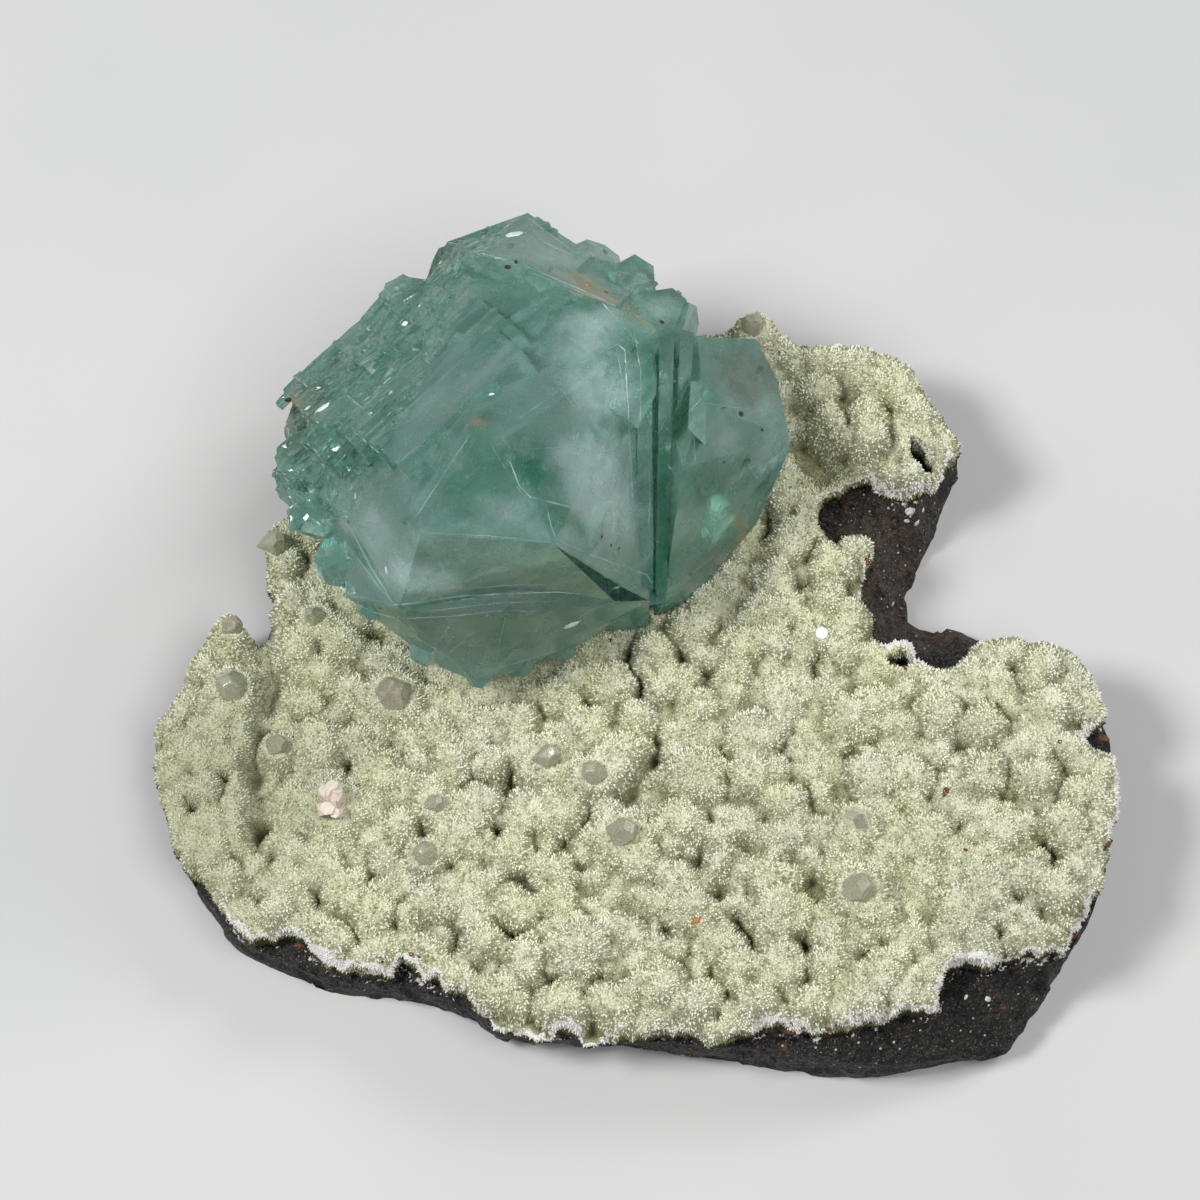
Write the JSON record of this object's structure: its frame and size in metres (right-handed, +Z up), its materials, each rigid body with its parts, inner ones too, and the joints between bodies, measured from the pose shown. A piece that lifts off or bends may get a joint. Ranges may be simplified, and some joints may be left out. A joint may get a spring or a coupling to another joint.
{
  "type": "apophyllite cluster on druse-crusted basalt matrix",
  "caption": "Ball of intergrown blue-green apophyllite crystals on a notched slab of dark basalt covered by a pale botryoidal druse crust; rests on its flat underside.",
  "frame": {"origin": "centre of the plan of the part's bounding box, on the plane of the stone's flat underside", "axes": "+X along the slab towards the notched end, +Y across the slab towards the side where the crystal ball stands, +Z up from the flat underside"},
  "size_m": [0.121, 0.1012, 0.057],
  "materials": {
    "basalt": "dark grey-black granular broken stone",
    "druse": "pale yellow-green micro-crystalline botryoidal crust",
    "apophyllite": "blue-green translucent crystal with cloudy veils, transmission, IOR 1.535",
    "glassy": "small clear to pale brownish crystals, IOR 1.535",
    "stilbite": "pale pink pearly blades",
    "flake": "bright white pearly flake"
  },
  "bodies": {
    "root": {"basalt_matrix": "basalt", "druse_crust": "druse", "apophyllite_cluster": "apophyllite", "stilbite_bud": "stilbite", "white_flake": "flake", "glassy_crystal_01": "glassy", "glassy_crystal_02": "glassy", "glassy_crystal_03": "glassy", "glassy_crystal_04": "glassy", "glassy_crystal_05": "glassy", "glassy_crystal_06": "glassy", "glassy_crystal_07": "glassy", "glassy_crystal_08": "glassy", "glassy_crystal_09": "glassy", "glassy_crystal_10": "glassy", "glassy_crystal_11": "glassy", "glassy_crystal_12": "glassy", "glassy_crystal_13": "glassy", "glassy_crystal_14": "glassy"}
  },
  "joints": []
}
